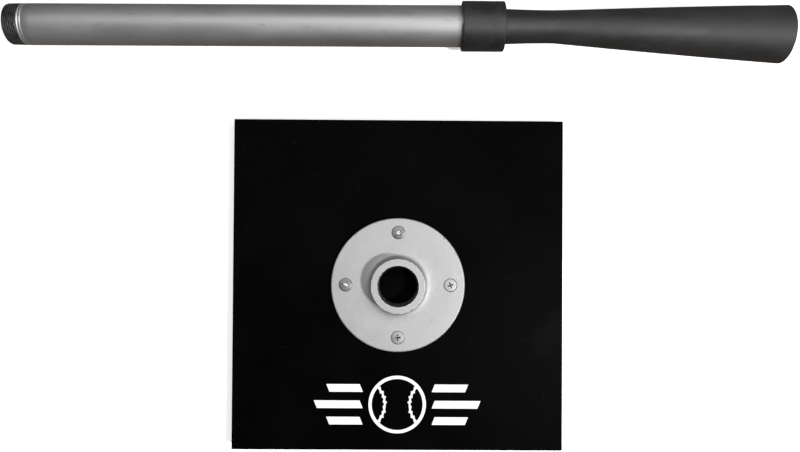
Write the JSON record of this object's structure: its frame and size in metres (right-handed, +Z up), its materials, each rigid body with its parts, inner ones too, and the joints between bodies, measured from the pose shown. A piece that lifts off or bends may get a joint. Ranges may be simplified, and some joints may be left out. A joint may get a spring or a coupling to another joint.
{
  "type": "batting tee",
  "caption": "Batting tee taken apart: a square steel base with a screwed-on pipe flange, and a telescopic steel stem topped by a flexible rubber ball rest.",
  "frame": {"origin": "on the axis of the flange's threaded socket, in the top face of the base plate, where the socket begins", "axes": "+Z up along the socket's axis, the way the stem leaves it; +X along the stem as it lies beside the base, from its threaded end to the ball rest; +Y from the base towards the stem. The floor is at z = -18.35 mm"},
  "size_m": [0.8031, 0.4672, 0.0591],
  "materials": {
    "plate_black": "satin",
    "cast_silver": "satin",
    "ink_white": "satin",
    "zinc_steel": "satin",
    "foot_rubber": "matte",
    "pipe_steel": "satin",
    "collar_black": "matte",
    "nylon": "satin",
    "tube_steel": "satin",
    "ring_rubber": "satin",
    "rest_rubber": "matte"
  },
  "bodies": {
    "base": {"base_plate": "plate_black", "pipe_flange": "cast_silver", "printed_mark": "ink_white", "flange_screw_1": "zinc_steel", "flange_screw_2": "zinc_steel", "flange_screw_3": "zinc_steel", "flange_screw_4": "zinc_steel", "lock_washer_1": "zinc_steel", "lock_washer_2": "zinc_steel", "lock_washer_3": "zinc_steel", "lock_washer_4": "zinc_steel", "hex_nut_1": "zinc_steel", "hex_nut_2": "zinc_steel", "hex_nut_3": "zinc_steel", "hex_nut_4": "zinc_steel", "foot_1": "foot_rubber", "foot_2": "foot_rubber", "foot_3": "foot_rubber", "foot_4": "foot_rubber", "foot_screw_1": "zinc_steel", "foot_screw_2": "zinc_steel", "foot_screw_3": "zinc_steel", "foot_screw_4": "zinc_steel"},
    "stem": {"outer_pipe": "pipe_steel", "collar": "collar_black", "upper_bushing": "nylon"},
    "inner_stem": {"inner_tube": "tube_steel", "guide_bushing": "nylon", "guide_pin": "zinc_steel", "friction_ring_1": "ring_rubber", "friction_ring_2": "ring_rubber", "rest_sleeve": "rest_rubber"},
    "ball_rest": {"rest_cone": "rest_rubber"}
  },
  "joints": [
    {"name": "stem_lift", "type": "slide", "parent": "base", "child": "stem", "axis": [0, 0, 1], "range_m": [0, 0.3]},
    {"name": "height_adjust", "type": "slide", "parent": "stem", "child": "inner_stem", "axis": [0.9999, 0, 0.0109], "range_m": [0, 0.38]},
    {"name": "top_flex", "type": "hinge", "parent": "inner_stem", "child": "ball_rest", "pos_m": [0.15817, 0.2693, 0.00864], "axis": [0, 0, 1], "range_deg": [-18, 18], "stiffness_Nm_per_rad": 3}
  ]
}
